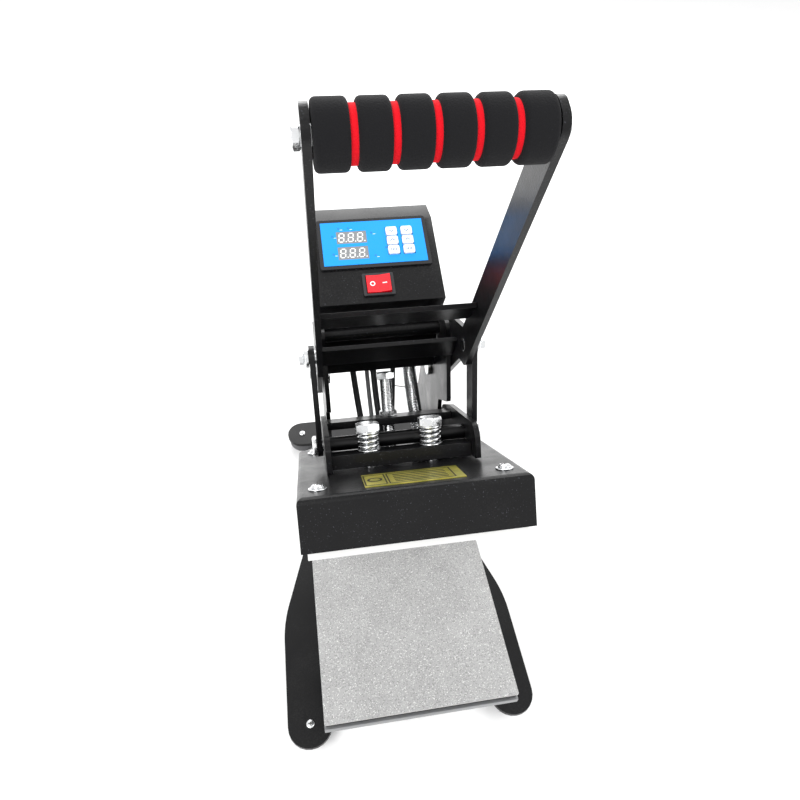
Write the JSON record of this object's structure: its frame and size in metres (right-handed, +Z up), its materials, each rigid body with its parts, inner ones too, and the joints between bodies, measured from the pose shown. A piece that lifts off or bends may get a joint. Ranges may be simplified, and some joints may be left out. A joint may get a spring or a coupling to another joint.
{
  "type": "clamshell heat press",
  "caption": "Small clamshell heat press: hinged heater head over a flat padded bed, toggle handle with foam grip, sloped control box on twin uprights, bell-shaped base on rubber feet.",
  "frame": {"origin": "centre of the footprint on the table under the rubber feet, with the press open", "axes": "+X to the operator's right, +Y to the rear, +Z up"},
  "size_m": [0.2158, 0.3728, 0.5],
  "materials": {
    "powder_black": "black textured powder coat",
    "satin_black": "satin black enamel",
    "zinc": "bright zinc plating",
    "link_black": "blackened steel rod",
    "aluminium": "milled aluminium",
    "silicone": "matte light grey silicone with fine dark flecks",
    "backing_foam": "black sponge rubber",
    "foot_rubber": "dark grey moulded rubber",
    "grip_foam": "matte black foam",
    "panel_blue": "glossy blue printed overlay in a black surround",
    "button_white": "white push buttons",
    "switch_red": "translucent red rocker",
    "switch_black": "black moulded plastic",
    "board_green": "green circuit board",
    "insulation": "off-white fibre board",
    "label_gold": "gold foil label with dark printing, no words",
    "cable_black": "black sleeved lead",
    "cable_grey": "grey lead",
    "conduit": "bright metal armoured conduit"
  },
  "bodies": {
    "frame": {"base_plate": "satin_black", "foot_front_left": "foot_rubber", "foot_front_right": "foot_rubber", "foot_rear_left": "foot_rubber", "foot_rear_right": "foot_rubber", "bed_pedestal": "satin_black", "bed_plate": "aluminium", "pad_backing": "backing_foam", "silicone_pad": "silicone", "upright_left": "powder_black", "upright_right": "powder_black", "upright_web": "powder_black", "platen_pivot_shaft": "zinc", "lever_pin_left": "zinc", "lever_pin_right": "zinc", "control_box_cover": "powder_black", "control_box_floor": "powder_black", "display_panel": "panel_blue", "controller_board": "board_green", "switch_frame": "switch_black", "power_inlet": "switch_black", "heater_lead_left": "cable_black", "heater_lead_right": "cable_black", "sensor_lead": "cable_grey", "earth_lead": "cable_black", "armoured_lead": "conduit"},
    "platen_arm": {"bracket_plate_left": "powder_black", "bracket_plate_right": "powder_black", "bracket_front_bar": "powder_black", "bracket_rear_bar": "powder_black", "link_rod": "link_black", "heater_housing": "powder_black", "heated_platen": "aluminium", "heating_element": "zinc", "insulation_board": "insulation", "rating_label": "label_gold", "spring_bolt_left": "zinc", "spring_bolt_right": "zinc", "pressure_spring_left": "zinc", "pressure_spring_right": "zinc"},
    "handle": {"lever_left": "powder_black", "lever_right": "powder_black", "upper_cross_plate": "powder_black", "lower_cross_plate": "powder_black", "grip_tube": "zinc", "foam_grip": "grip_foam", "elbow_bolt_left": "zinc", "elbow_bolt_right": "zinc"},
    "links": {"link_left": "powder_black", "link_right": "powder_black", "link_bolt_left": "zinc", "link_bolt_right": "zinc"},
    "pressure_bolt": {"pressure_bolt": "zinc"},
    "button_time_top": {"button_time_top": "button_white"},
    "button_time_middle": {"button_time_middle": "button_white"},
    "button_time_bottom": {"button_time_bottom": "button_white"},
    "button_heat_top": {"button_heat_top": "button_white"},
    "button_heat_middle": {"button_heat_middle": "button_white"},
    "button_heat_bottom": {"button_heat_bottom": "button_white"},
    "rocker": {"power_rocker": "switch_red"}
  },
  "joints": [
    {"name": "handle_swing", "type": "hinge", "parent": "frame", "child": "handle", "pos_m": [0, 0.0735, 0.2044], "axis": [1, 0, 0], "range_deg": [0, 62.2]},
    {"name": "platen_swing", "type": "hinge", "parent": "frame", "child": "platen_arm", "pos_m": [0, 0.044, 0.0895], "axis": [1, 0, 0], "range_deg": [0, 39.2], "deforming": ["heater_lead_left", "heater_lead_right", "sensor_lead", "earth_lead", "armoured_lead"]},
    {"name": "link_swing", "type": "hinge", "parent": "handle", "child": "links", "pos_m": [0, 0, 0.292], "axis": [1, 0, 0], "range_deg": [-102.3, 0]},
    {"name": "pressure_bolt_turn", "type": "hinge", "parent": "platen_arm", "child": "pressure_bolt", "pos_m": [0, 0.01236, 0.20516], "axis": [0, 0.6307, 0.776], "continuous": true},
    {"name": "button_time_top_press", "type": "slide", "parent": "frame", "child": "button_time_top", "axis": [0, 0.3846, -0.9231], "range_m": [0, 0.0012], "stiffness_N_per_m": 400},
    {"name": "button_time_middle_press", "type": "slide", "parent": "frame", "child": "button_time_middle", "axis": [0, 0.3846, -0.9231], "range_m": [0, 0.0012], "stiffness_N_per_m": 400},
    {"name": "button_time_bottom_press", "type": "slide", "parent": "frame", "child": "button_time_bottom", "axis": [0, 0.3846, -0.9231], "range_m": [0, 0.0012], "stiffness_N_per_m": 400},
    {"name": "button_heat_top_press", "type": "slide", "parent": "frame", "child": "button_heat_top", "axis": [0, 0.3846, -0.9231], "range_m": [0, 0.0012], "stiffness_N_per_m": 400},
    {"name": "button_heat_middle_press", "type": "slide", "parent": "frame", "child": "button_heat_middle", "axis": [0, 0.3846, -0.9231], "range_m": [0, 0.0012], "stiffness_N_per_m": 400},
    {"name": "button_heat_bottom_press", "type": "slide", "parent": "frame", "child": "button_heat_bottom", "axis": [0, 0.3846, -0.9231], "range_m": [0, 0.0012], "stiffness_N_per_m": 400},
    {"name": "rocker_tilt", "type": "hinge", "parent": "frame", "child": "rocker", "pos_m": [-0.0013, 0.06951, 0.29972], "axis": [0, 0.9231, 0.3846], "range_deg": [0, 9]}
  ],
  "couplings": [
    {"joint": "platen_swing", "follows": "handle_swing", "ratio": 0.62862},
    {"joint": "link_swing", "follows": "handle_swing", "ratio": -1.6415}
  ]
}
